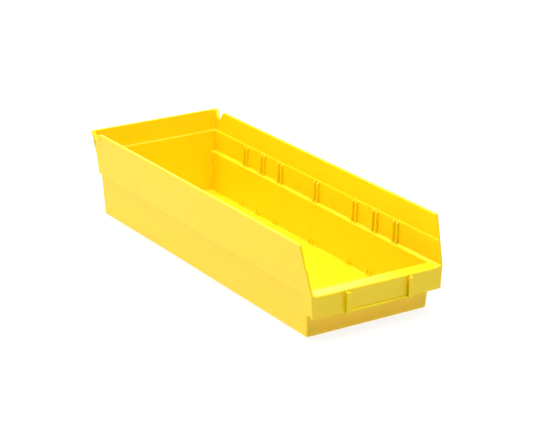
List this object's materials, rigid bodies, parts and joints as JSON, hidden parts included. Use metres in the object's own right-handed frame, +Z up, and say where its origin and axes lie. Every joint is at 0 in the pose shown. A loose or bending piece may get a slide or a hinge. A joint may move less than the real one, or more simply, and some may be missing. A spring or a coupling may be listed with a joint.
{
  "type": "shelf storage bin",
  "caption": "Long open-topped shelf bin moulded in yellow plastic, with a low front, a label holder, divider ribs on stepped side walls and a hanging lip at the back.",
  "frame": {"origin": "middle of the bounding box, on the surface that the bin stands on", "axes": "+X to the right when facing the open front, +Y towards the hanging lip at the rear, +Z up"},
  "size_m": [0.1702, 0.459, 0.102],
  "materials": {
    "yellow_polypropylene": "injection-moulded polypropylene, semi-gloss, evenly coloured through"
  },
  "bodies": {
    "root": {"floor_panel": "yellow_polypropylene", "lower_wall_right": "yellow_polypropylene", "lower_wall_left": "yellow_polypropylene", "lower_wall_rear": "yellow_polypropylene", "lower_wall_front": "yellow_polypropylene", "divider_ledge_right": "yellow_polypropylene", "divider_ledge_left": "yellow_polypropylene", "middle_wall_right": "yellow_polypropylene", "middle_wall_left": "yellow_polypropylene", "middle_wall_rear": "yellow_polypropylene", "divider_rib_right_1a": "yellow_polypropylene", "divider_rib_left_1a": "yellow_polypropylene", "divider_rib_right_1b": "yellow_polypropylene", "divider_rib_left_1b": "yellow_polypropylene", "divider_rib_right_2a": "yellow_polypropylene", "divider_rib_left_2a": "yellow_polypropylene", "divider_rib_right_2b": "yellow_polypropylene", "divider_rib_left_2b": "yellow_polypropylene", "divider_rib_right_3a": "yellow_polypropylene", "divider_rib_left_3a": "yellow_polypropylene", "divider_rib_right_3b": "yellow_polypropylene", "divider_rib_left_3b": "yellow_polypropylene", "divider_rib_right_4a": "yellow_polypropylene", "divider_rib_left_4a": "yellow_polypropylene", "divider_rib_right_4b": "yellow_polypropylene", "divider_rib_left_4b": "yellow_polypropylene", "divider_rib_right_5a": "yellow_polypropylene", "divider_rib_left_5a": "yellow_polypropylene", "divider_rib_right_5b": "yellow_polypropylene", "divider_rib_left_5b": "yellow_polypropylene", "divider_rib_right_6a": "yellow_polypropylene", "divider_rib_left_6a": "yellow_polypropylene", "divider_rib_right_6b": "yellow_polypropylene", "divider_rib_left_6b": "yellow_polypropylene", "divider_rib_right_7a": "yellow_polypropylene", "divider_rib_left_7a": "yellow_polypropylene", "divider_rib_right_7b": "yellow_polypropylene", "divider_rib_left_7b": "yellow_polypropylene", "upper_wall_right": "yellow_polypropylene", "upper_wall_left": "yellow_polypropylene", "upper_wall_rear": "yellow_polypropylene", "rim_wall_right": "yellow_polypropylene", "rim_wall_left": "yellow_polypropylene", "hang_lip": "yellow_polypropylene", "hang_lip_cheek_right": "yellow_polypropylene", "hang_lip_cheek_left": "yellow_polypropylene", "front_sill": "yellow_polypropylene", "front_band": "yellow_polypropylene", "band_return_right": "yellow_polypropylene", "band_return_left": "yellow_polypropylene", "label_guide_leg_right": "yellow_polypropylene", "label_guide_leg_left": "yellow_polypropylene", "label_guide_flange_right": "yellow_polypropylene", "label_guide_flange_left": "yellow_polypropylene", "label_shelf": "yellow_polypropylene"}
  },
  "joints": []
}
